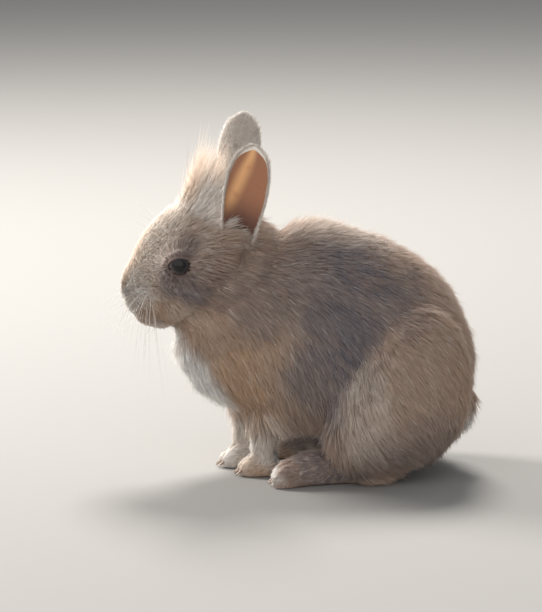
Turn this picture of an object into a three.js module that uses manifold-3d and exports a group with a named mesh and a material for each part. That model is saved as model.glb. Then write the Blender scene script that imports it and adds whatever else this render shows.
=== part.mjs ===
// A young domestic rabbit at life size, sitting on its haunches with its ears up.
// Millimetres. X points forward, Y to the rabbit's left and Z up. The origin is on the floor, under the
// middle of the rabbit. Every form is modelled out to the tips of the coat.
import * as THREE from "three";
import { mergeVertices } from "three/addons/utils/BufferGeometryUtils.js";
import Module from "manifold-3d";

const wasm = await Module();
wasm.setup();

// ---------------------------------------------------------------- driving dimensions

const bodyLength = 185; // nose to rump, as the rabbit sits
const backHeight = 134; // floor to the top of the shoulders
const crownHeight = 148; // floor to the top of the head
const trunkWidth = 82;
const haunchWidth = 102; // over both thighs
const headLength = 82; // nose to nape
const headWidth = 56; // over both cheeks
const hindFootLength = 70; // toes to heel
const forePawLength = 25;
const earLength = 64; // from its root inside the head to its tip
const earWidth = 27; // of the blade laid flat
const earThickness = 2.4;
const eyeDiameter = 14.8;
const tailLength = 36;
const gap = 0.3; // between pieces that meet

const noseX = bodyLength / 2;
const rumpX = -bodyLength / 2;
const sides = [["left", 1], ["right", -1]];

// ---------------------------------------------------------------- materials

function coat(name, color) {
  return new THREE.MeshStandardMaterial({ name, color, roughness: 0.9, metalness: 0 });
}

const sandyCoat = coat("sandy_coat", 0xc9ab8a);
const paleCoat = coat("pale_coat", 0xe4d6c4);
const earSkin = coat("ear_skin", 0xc98f6c);
const eyeGloss = new THREE.MeshStandardMaterial({ name: "eye", color: 0x1c1512, roughness: 0.1, metalness: 0 });

// ---------------------------------------------------------------- solids

// A closed manifold of a mesh, in the part's frame.
function solidOf(mesh) {
  mesh.updateWorldMatrix(true, false);
  const geometry = mesh.geometry.clone().deleteAttribute("normal").deleteAttribute("uv");
  const merged = mergeVertices(geometry.applyMatrix4(mesh.matrixWorld), 1e-3);
  const faces = [];
  for (let i = 0; i < merged.index.count; i += 3) {
    const corners = [0, 1, 2].map((k) => merged.index.getX(i + k));
    if (new Set(corners).size === 3) faces.push(...corners);
  }
  const vertProperties = merged.attributes.position.array;
  return new wasm.Manifold(new wasm.Mesh({ numProp: 3, vertProperties, triVerts: new Uint32Array(faces) }));
}

// Gives a mesh the shape of a manifold that is in the part's frame.
function reshape(mesh, solid) {
  mesh.updateWorldMatrix(true, false);
  const { vertProperties, triVerts } = solid.getMesh();
  mesh.geometry = new THREE.BufferGeometry()
    .setAttribute("position", new THREE.BufferAttribute(vertProperties, 3))
    .setIndex(new THREE.BufferAttribute(triVerts, 1))
    .applyMatrix4(mesh.matrixWorld.clone().invert());
  mesh.geometry.computeVertexNormals();
  return mesh;
}

function joined(...solids) {
  return solids.reduce((all, one) => all.add(one));
}

function without(solid, ...tools) {
  return tools.reduce((rest, tool) => rest.subtract(tool), solid);
}

// ---------------------------------------------------------------- forms

// Moves each vertex of a unit sphere, whose poles are on Y, to place(polar angle, angle round the poles).
function shapedSphere(around, along, place) {
  const geometry = new THREE.SphereGeometry(1, around, along);
  const places = geometry.attributes.position;
  const spot = new THREE.Vector3();
  for (let i = 0; i < places.count; i++) {
    spot.fromBufferAttribute(places, i);
    const polar = Math.acos(THREE.MathUtils.clamp(spot.y, -1, 1));
    const turn = Math.atan2(spot.z, spot.x);
    places.setXYZ(i, ...place(polar, turn));
  }
  return geometry;
}

// Sizes that run smoothly through rows of [polar angle, ...sizes].
function smoothly(rows) {
  return new THREE.CubicInterpolant(rows.map((r) => r[0]), rows.flatMap((r) => r.slice(1)), rows[0].length - 1);
}

// A rounded form whose slices stand across its own X axis. front and back are its two ends, [x, z], and each
// slice is [x, bottom, top, half width]. widest says how far up a slice its widest level is, lean how much
// further to the left its front end is than its back end, and grow moves the whole surface outwards.
function roundedForm({ front, back, slices, widest = 0.5, lean = 0, around = 20, along = 16, grow = 0 }) {
  const middle = (front[0] + back[0]) / 2;
  const reach = (front[0] - back[0]) / 2;
  const sizes = smoothly([
    [0, front[1], 0, 0, 0],
    ...slices.map(([x, bottom, top, half]) => {
      const level = THREE.MathUtils.lerp(bottom, top, widest);
      return [Math.acos((x - middle) / reach), level, top - level, level - bottom, half];
    }),
    [Math.PI, back[1], 0, 0, 0],
  ]);
  return shapedSphere(around, along, (polar, turn) => {
    const [level, up, down, half] = sizes.evaluate(polar);
    const swell = grow * Math.sin(polar);
    const lift = Math.sin(turn);
    return [
      middle + (reach + grow) * Math.cos(polar),
      (lean * Math.cos(polar)) / 2 - (half + swell) * Math.cos(turn),
      level + ((lift > 0 ? up : down) + swell) * lift,
    ];
  });
}

// The solid of a rounded form, set to one side of the middle by y. A lean is turned with its side.
function formSolid(shape, y = 0, grow = 0) {
  const lean = (shape.lean ?? 0) * Math.sign(y);
  const mesh = new THREE.Mesh(roundedForm({ ...shape, lean, grow }));
  mesh.position.y = y;
  return solidOf(mesh);
}

// A long block on one side of a slanted plane, which stands across the side view through the points low and
// high, [x, z]. It fills the side towards the rump, from shift behind the plane.
function blockBehind([low, high], shift = 0) {
  const size = 4 * bodyLength;
  const block = new THREE.Mesh(new THREE.BoxGeometry(size, size, size));
  block.position.set((low[0] + high[0]) / 2, 0, (low[1] + high[1]) / 2);
  block.rotation.y = Math.atan2(high[0] - low[0], high[1] - low[1]);
  block.translateX(-size / 2 - shift);
  return solidOf(block);
}

function groundBlock() {
  const size = 4 * bodyLength;
  const block = new THREE.Mesh(new THREE.BoxGeometry(size, size, size));
  block.position.z = -size / 2;
  return solidOf(block);
}

// ---------------------------------------------------------------- trunk, neck and head

const trunkShape = {
  front: [62, 61],
  back: [rumpX + 0.3, 62],
  widest: 0.4,
  around: 24,
  along: 20,
  slices: [
    [58, 49, 78, 13],
    [50, 41.5, 96, 22],
    [38, 35.5, 112, 0.345 * trunkWidth],
    [24, 30.5, 121, 0.385 * trunkWidth],
    [10, 26, 0.955 * backHeight, 0.415 * trunkWidth],
    [-4, 21, backHeight - 1.5, 0.445 * trunkWidth],
    [-23, 15, backHeight - 3.5, 0.48 * trunkWidth],
    [-42, 12, backHeight - 9, 0.5 * trunkWidth],
    [-60, 12, backHeight - 18.5, 0.48 * trunkWidth],
    [-73, 16, backHeight - 29, 0.43 * trunkWidth],
    [-83, 25, backHeight - 43.5, 0.35 * trunkWidth],
    [-89.5, 37, backHeight - 59.5, 0.23 * trunkWidth],
  ],
};

const neckShape = {
  front: [67.5, 69],
  back: [-2, 106],
  widest: 0.45,
  around: 18,
  along: 12,
  slices: [
    [65.5, 61, 77, 9],
    [60, 53, 90, 17],
    [50, 46, 104, 23.5],
    [36, 47, 117, 27.5],
    [22, 60, 127, 26],
    [10, 78, 127, 21],
    [2, 92, 121, 12],
  ],
};

const headShape = {
  front: [noseX - 0.2, 100],
  back: [noseX - headLength, 114],
  widest: 0.4,
  around: 24,
  along: 20,
  slices: [
    [90.5, 92, 107.5, 6.5],
    [87, 86, 114, 10],
    [82, 81, 125, 0.25 * headWidth],
    [75, 77.5, 134, 0.33 * headWidth],
    [66, 75.5, 141, 0.42 * headWidth],
    [55, 75.5, crownHeight - 2, 0.49 * headWidth],
    [44, 78, crownHeight, 0.5 * headWidth],
    [34, 83, crownHeight - 2, 0.48 * headWidth],
    [24, 90, crownHeight - 9, 0.42 * headWidth],
    [15, 98, crownHeight - 18, 0.3 * headWidth],
  ],
};

// The two pads of the upper lip that carry the whiskers, and the chin under them.
const whiskerPadShape = {
  front: [91, 95.5],
  back: [64, 94],
  around: 12,
  along: 8,
  slices: [[88, 89, 102.5, 5.5], [80, 83.5, 107, 9], [71, 84, 106, 8.5]],
};
const whiskerPadOffset = 7.2;

const chinShape = {
  front: [85.5, 84],
  back: [58, 84],
  around: 12,
  along: 8,
  slices: [[82, 79.5, 89, 6.5], [74, 76.5, 92, 9.5], [65, 75.5, 92, 10]],
};

// The tuft of long hair between the ears. Its own X axis points up from the crown.
const forelockShape = {
  front: [31, 1],
  back: [-12, 0],
  around: 12,
  along: 10,
  slices: [[28, -2.5, 3.5, 3.5], [19, -6, 6, 6.5], [7, -8.5, 8, 9], [-6, -8.5, 9, 9.5]],
};
const forelockRoot = [50.5, 0, 139];
const forelockTilt = -1.56;

// Where the head meets the neck and the neck the trunk, as planes through a low and a high point, [x, z].
const headCut = [[71, 74], [17, 139]];
const neckCut = [[56, 44], [0, 136]];

const eyeCentre = [62, 18.9, 113.2];

// ---------------------------------------------------------------- ears

// A leaf with its root at the origin and its tip along X, rolled round its own length: nearly a tube at the
// root and an open trough in the blade. Its hollow faces -Z.
function earLeaf() {
  const halfWidths = smoothly([
    [0, 0],
    [0.25, 0.11 * earWidth],
    [0.6, 0.29 * earWidth],
    [1.05, 0.45 * earWidth],
    [1.5, 0.5 * earWidth],
    [2, 0.46 * earWidth],
    [2.5, 0.38 * earWidth],
    [2.9, 0.3 * earWidth],
    [Math.PI, 0],
  ]);
  const rollRadii = smoothly([[0, 17], [1.2, 14], [2, 9], [2.6, 6.2], [Math.PI, 5]]);
  return shapedSphere(16, 16, (polar, turn) => {
    const [halfWidth] = halfWidths.evaluate(polar);
    const [rollRadius] = rollRadii.evaluate(polar);
    const wrap = (halfWidth * Math.cos(turn)) / rollRadius;
    const thickness = earThickness * Math.min(1, 2.2 * Math.sin(polar));
    const radius = rollRadius + (thickness / 2) * Math.sin(turn);
    const along = (earLength * (1 + Math.cos(polar))) / 2;
    return [along, -radius * Math.sin(wrap), radius * Math.cos(wrap) - rollRadius];
  });
}

// Each ear stands on the crown, leans out and turns its hollow to its own side.
const ears = {
  left: { root: [34, 14, 118], out: 0.36, back: 0.16 },
  right: { root: [33, -13, 123], out: 0.15, back: 0.09 },
};

function placeEar(mesh, side, { root, out, back }) {
  const length = new THREE.Vector3(-back, side * Math.tan(out), 1).normalize();
  const hollow = new THREE.Vector3(0.1, side, 0);
  hollow.addScaledVector(length, -hollow.dot(length)).normalize();
  const thick = hollow.negate();
  const width = new THREE.Vector3().crossVectors(thick, length);
  mesh.quaternion.setFromRotationMatrix(new THREE.Matrix4().makeBasis(length, width, thick));
  mesh.position.set(...root);
}

// ---------------------------------------------------------------- legs and tail

const thighShape = {
  front: [-12, 30],
  back: [-89.5, 49],
  widest: 0.4,
  lean: 12,
  around: 20,
  along: 14,
  slices: [
    [-14.5, 16, 44, 8],
    [-21, 6, 57, 14],
    [-33, 1, 76, 20],
    [-47, 3, 91, 23],
    [-61, 7, 96, 22.5],
    [-75, 14.5, 88, 18.5],
    [-84, 27, 75, 12],
  ],
};
const thighOffset = haunchWidth / 2 - 23;

const hindFootShape = {
  front: [15, 6],
  back: [15 - hindFootLength, 7],
  widest: 0.4,
  lean: 13,
  around: 12,
  along: 12,
  slices: [[13, -1, 11.5, 6], [6, -1.5, 15, 8.6], [-6, -1.5, 17.5, 8.8], [-24, -1, 16.5, 8], [-44, -1, 14, 7]],
};
const hindFootOffset = 27;

// The toes stand side by side at the front of the foot.
const hindToeShape = {
  front: [16.5, 4.5],
  back: [-8, 6],
  lean: 5,
  around: 8,
  along: 6,
  slices: [[13, -1, 9.5, 3], [5, -1, 13, 3.4]],
};
const hindToeSpacing = 4.4;

// The foreleg's own X axis runs down from the elbow, and its top faces forward.
const foreLegShape = {
  front: [46, 1],
  back: [-12, -2],
  around: 14,
  along: 12,
  slices: [[42, -5.5, 7.5, 5.5], [32, -7.5, 8, 7.2], [18, -9.5, 9, 8.4], [4, -13, 12, 9.8], [-7, -11, 10, 8]],
};
const foreLegTilt = Math.PI / 2 - 0.06;
const elbowHeight = 50;

const forePawShape = {
  front: [forePawLength / 2, 5],
  back: [-forePawLength / 2, 6],
  widest: 0.4,
  around: 14,
  along: 10,
  slices: [[9.5, -1, 9.5, 5.5], [4, -1.5, 13, 7.8], [-3, -1.5, 14, 7.5], [-9, -1, 12, 5.6]],
};

// How far forward and to its own side each forepaw stands.
const foreFeet = {
  left: { forward: 21, out: 10 },
  right: { forward: 29.5, out: 9.5 },
};

// The tail's own X axis points up the rump.
const tailShape = {
  front: [tailLength / 2, -1],
  back: [-tailLength / 2, 0],
  around: 14,
  along: 12,
  slices: [[12, -7, 5, 8], [4, -9, 7, 10.5], [-6, -9, 7, 10.5], [-13, -6, 4, 7]],
};
const tailRoot = [rumpX + 10, 0, 30];
const tailTilt = -1.95;

// ---------------------------------------------------------------- the rabbit

const rabbit = new THREE.Group();
const ground = groundBlock();

// A named mesh that is waiting for its shape.
function piece(name, material, parent = rabbit) {
  const mesh = new THREE.Mesh(new THREE.BufferGeometry(), material);
  mesh.name = name;
  parent.add(mesh);
  return mesh;
}

// A group turned about its Y axis, for a form whose own X axis isn't level.
function holder(position, turn) {
  const group = new THREE.Group();
  group.position.set(...position);
  group.rotation.y = turn;
  rabbit.add(group);
  return group;
}

function heldSolid(group, shape, grow = 0) {
  const mesh = new THREE.Mesh(roundedForm({ ...shape, grow }));
  group.add(mesh);
  const solid = solidOf(mesh);
  group.remove(mesh);
  return solid;
}

// Head, neck and trunk are one flesh, parted by the two slanted cuts.
const headFlesh = joined(
  formSolid(headShape),
  ...sides.map(([, side]) => formSolid(whiskerPadShape, side * whiskerPadOffset)),
  formSolid(chinShape),
  heldSolid(holder(forelockRoot, forelockTilt), forelockShape),
);
const flesh = joined(headFlesh, formSolid(neckShape), formSolid(trunkShape));

function eyeBall(name, side, grow = 0) {
  const eye = new THREE.Mesh(new THREE.SphereGeometry(eyeDiameter / 2 + grow, 14, 10), eyeGloss);
  eye.name = name;
  eye.position.set(eyeCentre[0], side * eyeCentre[1], eyeCentre[2]);
  return eye;
}

const sockets = sides.map(([name, side]) => {
  rabbit.add(eyeBall(`eye_${name}`, side));
  return solidOf(eyeBall("socket", side, gap));
});

reshape(piece("head", sandyCoat), without(flesh, blockBehind(headCut), ...sockets));
reshape(piece("neck", sandyCoat), flesh.intersect(blockBehind(headCut, gap)).subtract(blockBehind(neckCut)));

// The ears end on the surface of the head and neck.
const crown = joined(formSolid(headShape, 0, gap), formSolid(neckShape, 0, gap));
for (const [name, side] of sides) {
  const ear = piece(`ear_${name}`, earSkin);
  ear.geometry = earLeaf();
  placeEar(ear, side, ears[name]);
  reshape(ear, solidOf(ear).subtract(crown));
}

// Each thigh rests on its hind foot, and the trunk is cut back round both.
const hindLegRooms = sides.map(([name, side]) => {
  const footAt = side * hindFootOffset;
  const toeLines = [-1.5, -0.5, 0.5, 1.5].map((k) => footAt + side * 4 + k * hindToeSpacing);
  const foot = joined(formSolid(hindFootShape, footAt), ...toeLines.map((y) => formSolid(hindToeShape, y)));
  const footRoom = formSolid(hindFootShape, footAt, gap);
  reshape(piece(`hind_foot_${name}`, sandyCoat), foot.subtract(ground));
  reshape(piece(`thigh_${name}`, sandyCoat), without(formSolid(thighShape, side * thighOffset), ground, footRoom));
  return joined(formSolid(thighShape, side * thighOffset, gap), footRoom);
});
const trunk = without(flesh.intersect(blockBehind(neckCut, gap)), ...hindLegRooms, ground);
reshape(piece("trunk", sandyCoat), trunk);

// The tail lies up against the rump.
const tailHolder = holder(tailRoot, tailTilt);
const rumpRoom = formSolid(trunkShape, 0, gap);
reshape(piece("tail", paleCoat, tailHolder), without(heldSolid(tailHolder, tailShape), rumpRoom, ...hindLegRooms, ground));

// The forelegs come down out of the chest onto their paws.
const chestRoom = joined(formSolid(trunkShape, 0, gap), formSolid(neckShape, 0, gap));
for (const [name, side] of sides) {
  const { forward, out } = foreFeet[name];
  const legHolder = holder([forward - 4, side * (out + 2), elbowHeight], foreLegTilt);
  const pawHolder = holder([forward, side * out, 0], 0);
  const pawRoom = heldSolid(pawHolder, forePawShape, gap);
  reshape(piece(`forepaw_${name}`, paleCoat, pawHolder), heldSolid(pawHolder, forePawShape).subtract(ground));
  reshape(
    piece(`foreleg_${name}`, sandyCoat, legHolder),
    without(heldSolid(legHolder, foreLegShape), chestRoom, pawRoom),
  );
}

export default rabbit;
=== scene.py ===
"""Dresses the solid model of a young sitting rabbit with skin, eyes, claws, whiskers and coat."""

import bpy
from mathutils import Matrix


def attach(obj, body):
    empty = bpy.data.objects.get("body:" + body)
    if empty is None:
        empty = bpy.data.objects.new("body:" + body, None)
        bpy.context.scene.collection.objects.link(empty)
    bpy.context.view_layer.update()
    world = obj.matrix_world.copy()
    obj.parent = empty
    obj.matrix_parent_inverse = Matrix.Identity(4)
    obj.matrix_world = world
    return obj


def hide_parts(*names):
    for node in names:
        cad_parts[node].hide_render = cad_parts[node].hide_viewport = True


bl_info = {
    "name": "Sitting Rabbit",
    "version": (1, 0, 0),
    "blender": (4, 5, 0),
    "location": "View3D > Sidebar > Rabbit",
    "description": "Gives the solid rabbit its skin, coat, eyes, claws and whiskers, and sets up its studio",
    "category": "Object",
}

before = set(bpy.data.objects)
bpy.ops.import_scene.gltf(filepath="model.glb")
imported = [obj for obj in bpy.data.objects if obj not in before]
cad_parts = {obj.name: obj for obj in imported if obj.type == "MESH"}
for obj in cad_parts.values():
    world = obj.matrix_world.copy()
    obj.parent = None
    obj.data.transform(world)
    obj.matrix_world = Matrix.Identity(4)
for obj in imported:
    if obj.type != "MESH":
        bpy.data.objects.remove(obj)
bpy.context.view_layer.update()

import math

import bmesh
import bpy
import numpy as np
from bpy.props import FloatProperty, FloatVectorProperty, PointerProperty
from mathutils import Matrix, Vector
from mathutils.bvhtree import BVHTree
from mathutils.kdtree import KDTree

MM = 0.001
MM_PER_METRE = 1000


# ---- Settings


def length_of(name, description, default):
    return FloatProperty(name=name, description=description, default=default, unit="LENGTH", precision=4)


def colour_of(name, description, default):
    return FloatVectorProperty(
        name=name, description=description, default=default, subtype="COLOR", min=0, max=1
    )


class SkinSettings(bpy.types.PropertyGroup):
    grain: length_of("Grain", "Edge length of the skin's mesh", 0.0012)
    body_depth: length_of("Body depth", "How far the skin lies inside the coat on the trunk", 0.0072)
    head_depth: length_of("Head depth", "How far the skin lies inside the coat on the cheeks", 0.0034)
    foot_depth: length_of("Foot depth", "How far the skin lies inside the coat on the feet", 0.0018)
    ear_depth: length_of("Ear depth", "How far the skin lies inside the coat on the faces of an ear", 0.0004)
    inner_ear: colour_of("Inner ear", "Bare skin inside the ears", (0.42, 0.20, 0.12))
    bare: colour_of("Bare skin", "Skin at the nostrils and the rims of the lids", (0.065, 0.036, 0.032))


class CoatSettings(bpy.types.PropertyGroup):
    fullness: FloatProperty(
        name="Fullness", description="Share of the tufts that are grown", default=1.0, min=0.05, max=1.0
    )
    cream: colour_of("Cream", "Face, crown and forelock", (0.74, 0.64, 0.55))
    sand: colour_of("Sand", "Shoulder, jaw, whisker pads and forelegs", (0.60, 0.385, 0.24))
    fawn: colour_of("Fawn", "Thighs and rump", (0.50, 0.355, 0.27))
    umber: colour_of("Umber", "Side of the head and neck, and hocks", (0.29, 0.225, 0.205))
    grey: colour_of("Grey", "Saddle and flanks", (0.165, 0.15, 0.175))
    white: colour_of("White", "Throat, chest, belly and toes", (0.94, 0.92, 0.885))


class EyeSettings(bpy.types.PropertyGroup):
    width: length_of("Opening", "Width of the eye between its corners", 0.0115)
    upper: length_of("Upper lid", "Height of the upper lid's edge over the line of the corners", 0.0030)
    lower: length_of("Lower lid", "Depth of the lower lid's edge under the line of the corners", 0.0046)
    iris: colour_of("Iris", "Colour of the iris", (0.022, 0.021, 0.025))


class WhiskerSettings(bpy.types.PropertyGroup):
    length: length_of("Length", "Length of the longest whisker", 0.046)
    thickness: length_of("Thickness", "Thickness of a whisker at its root", 0.00017)


class ClawSettings(bpy.types.PropertyGroup):
    length: length_of("Length", "Length of a claw", 0.0042)
    horn: colour_of("Horn", "Colour of the claws", (0.20, 0.13, 0.09))


class StudioSettings(bpy.types.PropertyGroup):
    azimuth: FloatProperty(
        name="Azimuth", description="Where the camera stands round the rabbit, in degrees", default=177
    )
    elevation: FloatProperty(
        name="Elevation", description="How steeply the camera looks down, in degrees", default=11
    )
    distance: length_of("Distance", "From the camera to the rabbit", 1.6)
    floor: colour_of("Floor", "Colour of the floor", (0.30, 0.295, 0.285))


def settings(name):
    return getattr(bpy.context.scene, "rabbit_" + name)


# ---- Meshes as arrays


def read(items, field, columns=1, kind=float):
    """One field of every item as an array, with a row for each item."""
    values = np.empty(len(items) * columns, kind)
    items.foreach_get(field, values)
    return values.reshape(-1, columns) if columns > 1 else values


def points_of(mesh):
    return read(mesh.vertices, "co", 3)


def move_points(mesh, points):
    mesh.vertices.foreach_set("co", points.ravel())


def triangles_of(mesh):
    mesh.calc_loop_triangles()
    return read(mesh.loop_triangles, "vertices", 3, np.int32)


def mesh_of(name, points, faces):
    """A mesh of these points and of faces that all have as many corners as faces has columns."""
    mesh = bpy.data.meshes.new(name)
    count, sides = faces.shape
    mesh.vertices.add(len(points))
    mesh.vertices.foreach_set("co", np.ascontiguousarray(points, np.float32).ravel())
    mesh.loops.add(count * sides)
    mesh.loops.foreach_set("vertex_index", np.ascontiguousarray(faces, np.int32).ravel())
    mesh.polygons.add(count)
    mesh.polygons.foreach_set("loop_start", np.arange(0, count * sides, sides, dtype=np.int32))
    mesh.update(calc_edges=True)
    return mesh


def object_of(mesh):
    piece = bpy.data.objects.new(mesh.name, mesh)
    bpy.context.scene.collection.objects.link(piece)
    return piece


def store(mesh, name, values):
    """Keeps a number or a vector for each point of a mesh, for its material."""
    kind, field = ("FLOAT", "value") if values.ndim == 1 else ("FLOAT_VECTOR", "vector")
    layer = mesh.attributes.get(name) or mesh.attributes.new(name, kind, "POINT")
    layer.data.foreach_set(field, np.ascontiguousarray(values, np.float32).ravel())


def stored(mesh, name):
    """What store kept."""
    layer = mesh.attributes[name]
    field, columns = ("vector", 3) if layer.data_type == "FLOAT_VECTOR" else ("value", 1)
    return read(layer.data, field, columns, np.float32).astype(float)


def unit(vectors):
    return vectors / np.maximum(np.linalg.norm(vectors, axis=-1, keepdims=True), 1e-12)


def ramp(values, start, end):
    """0 before start, 1 after end, and smooth between them. start may be the greater."""
    t = np.clip((values - start) / (end - start), 0, 1)
    return t * t * (3 - 2 * t)


def normals_of(points, triangles):
    """The normal at each point, as an average of its triangles' by their size."""
    a, b, c = (points[triangles[:, k]] for k in range(3))
    weighted = np.cross(b - a, c - a)
    total = np.zeros_like(points)
    for k in range(3):
        for axis in range(3):
            total[:, axis] += np.bincount(triangles[:, k], weighted[:, axis], len(points))
    return unit(total)


class Neighbours:
    """Which points of a surface share an edge, for averaging over it."""

    def __init__(self, mesh):
        one, other = read(mesh.edges, "vertices", 2, np.int32).T
        self.here = np.concatenate([one, other])
        self.there = np.concatenate([other, one])
        self.count = len(mesh.vertices)
        self.degree = np.maximum(np.bincount(self.here, minlength=self.count), 1)

    def averaged(self, values, rounds, share=0.5):
        """values after some rounds of moving each one a share of the way to its neighbours' average."""
        values = np.array(values, float)
        columns = values.reshape(self.count, -1)
        share = np.broadcast_to(np.reshape(share, (-1, 1)), (self.count, 1))
        for _ in range(rounds):
            around = np.stack([np.bincount(self.here, c[self.there], self.count) for c in columns.T], 1)
            columns = columns + share * (around / self.degree[:, None] - columns)
        return columns.reshape(values.shape)


# ---- Pieces


def choose(*pieces):
    """Selects these objects alone, and makes the first one active."""
    if bpy.context.object and bpy.context.object.mode != "OBJECT":
        bpy.ops.object.mode_set(mode="OBJECT")
    bpy.ops.object.select_all(action="DESELECT")
    for piece in pieces:
        piece.select_set(True)
    bpy.context.view_layer.objects.active = pieces[0]


def modify(piece, kind, **values):
    """Puts a modifier on a piece and applies it."""
    choose(piece)
    bpy.ops.object.modifier_add(type=kind)
    modifier = piece.modifiers[-1]
    for name, value in values.items():
        setattr(modifier, name, value)
    bpy.ops.object.modifier_apply(modifier=modifier.name)


def start_edit(piece, picks=None):
    """Opens a piece in edit mode with all of it selected, or the points that picks says yes to."""
    choose(piece)
    bpy.ops.object.mode_set(mode="EDIT")
    if picks is None:
        bpy.ops.mesh.select_all(action="SELECT")
        return
    shape = bmesh.from_edit_mesh(piece.data)
    for vertex in shape.verts:
        vertex.select = picks(*vertex.co)
    shape.select_flush_mode()
    bmesh.update_edit_mesh(piece.data)


def end_edit():
    bpy.ops.object.mode_set(mode="OBJECT")


def pull(piece, picks, way, reach, falloff):
    """Moves the points that picks says yes to, and draws those within reach along with them."""
    start_edit(piece, picks)
    bpy.ops.transform.translate(
        value=way, use_proportional_edit=True, proportional_edit_falloff=falloff, proportional_size=reach
    )
    end_edit()


def lay_flat(piece, margin):
    """Unwraps a piece into flat islands with this margin between them."""
    start_edit(piece)
    bpy.ops.uv.smart_project(angle_limit=1.15, island_margin=margin)
    end_edit()


def copy_of_solid(name):
    """A loose copy of a CAD node, with the points of its faces merged."""
    piece = object_of(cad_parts[name].data.copy())
    piece.name = "copy_" + name
    start_edit(piece)
    bpy.ops.mesh.remove_doubles(threshold=1e-6)
    end_edit()
    piece.data.materials.clear()
    return piece


def joined(pieces, name):
    choose(*pieces)
    bpy.ops.object.join()
    piece = bpy.context.object
    piece.name = piece.data.name = name
    return piece


def settle(piece, slot, *stands_for):
    """Puts a finished piece's place into its mesh and says what carries it."""
    choose(piece)
    bpy.ops.object.transform_apply(location=True, rotation=True, scale=True)
    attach(piece, "root")
    if stands_for:
        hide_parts(*stands_for)


def turned_to(axis, up=(0, 0, 1)):
    """A turn that takes Z to axis and Y as near to up as it can."""
    z = Vector(axis).normalized()
    x = Vector(up).cross(z).normalized()
    return Matrix((x, z.cross(x), z)).transposed()


# ---- Shader maths


def maths(operation, swapped=False):
    """An operator that adds a Math node. swapped is for the reflected form, where the order matters."""

    def method(self, other):
        values = (other, self) if swapped else (self, other)
        return self.finish.node("ShaderNodeMath", {"operation": operation}, dict(enumerate(values)))

    return method


class Wire:
    """A socket of a material. Arithmetic on it adds Math nodes."""

    def __init__(self, finish, socket):
        self.finish, self.socket = finish, socket

    __add__ = __radd__ = maths("ADD")
    __mul__ = __rmul__ = maths("MULTIPLY")
    __sub__ = maths("SUBTRACT")
    __rsub__ = maths("SUBTRACT", swapped=True)
    __pow__ = maths("POWER")

    def __abs__(self):
        return self.finish.node("ShaderNodeMath", {"operation": "ABSOLUTE"}, {0: self})

    def ramp(self, start, end, low=0.0, high=1.0):
        """low before start, high after end, and smooth between them."""
        values = {"Value": self, "From Min": start, "From Max": end, "To Min": low, "To Max": high}
        return self.finish.node("ShaderNodeMapRange", {"interpolation_type": "SMOOTHSTEP"}, values)


class Finish:
    """A material with one Principled shader, and the ways to add nodes to it."""

    def __init__(self, name, **constants):
        self.material = bpy.data.materials.new(name)
        self.material.use_nodes = True
        self.tree = self.material.node_tree
        self.shader = next(n for n in self.tree.nodes if n.type == "BSDF_PRINCIPLED")
        self.set(**constants)

    def set(self, **values):
        for name, value in values.items():
            self.plug(self.shader.inputs[name.replace("_", " ")], value)

    def plug(self, socket, value):
        if isinstance(value, Wire):
            self.tree.links.new(value.socket, socket)
        elif socket.type == "RGBA" and len(value) == 3:
            socket.default_value = (*value, 1)
        else:
            socket.default_value = value

    def node(self, kind, setup=None, values=None, output=0):
        """Adds a node, sets it up, fills its sockets, and gives the wire of one output."""
        node = self.tree.nodes.new(kind)
        for name, value in (setup or {}).items():
            setattr(node, name, value)
        for name, value in (values or {}).items():
            self.plug(node.inputs[name], value)
        return Wire(self, node.outputs[output])

    def vectors(self, operation, *values, output=0):
        """Adds a Vector Math node."""
        return self.node("ShaderNodeVectorMath", {"operation": operation}, dict(enumerate(values)), output)

    def kept(self, name, output="Vector"):
        """What the mesh keeps for each point under this name."""
        setup = {"attribute_type": "GEOMETRY", "attribute_name": name}
        return self.node("ShaderNodeAttribute", setup, None, output)

    def split(self, vector):
        """The three numbers of a vector."""
        node = self.node("ShaderNodeSeparateXYZ", None, {0: vector}).socket.node
        return [Wire(self, output) for output in node.outputs]

    def mix(self, first, second, share):
        """The first colour, with this share of the second one."""
        setup = {"data_type": "RGBA", "clamp_factor": True}
        return self.node("ShaderNodeMix", setup, {0: share, 6: first, 7: second}, 2)

    def on_object(self):
        """The place on the object."""
        return self.node("ShaderNodeTexCoord", None, None, "Object")

    def noise(self, place, scale, detail, output=0):
        values = {"Vector": place, "Scale": scale, "Detail": detail}
        return self.node("ShaderNodeTexNoise", None, values, output)

    def bump(self, height, strength, distance):
        values = {"Height": height, "Strength": strength, "Distance": distance}
        return self.node("ShaderNodeBump", None, values)
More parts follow.
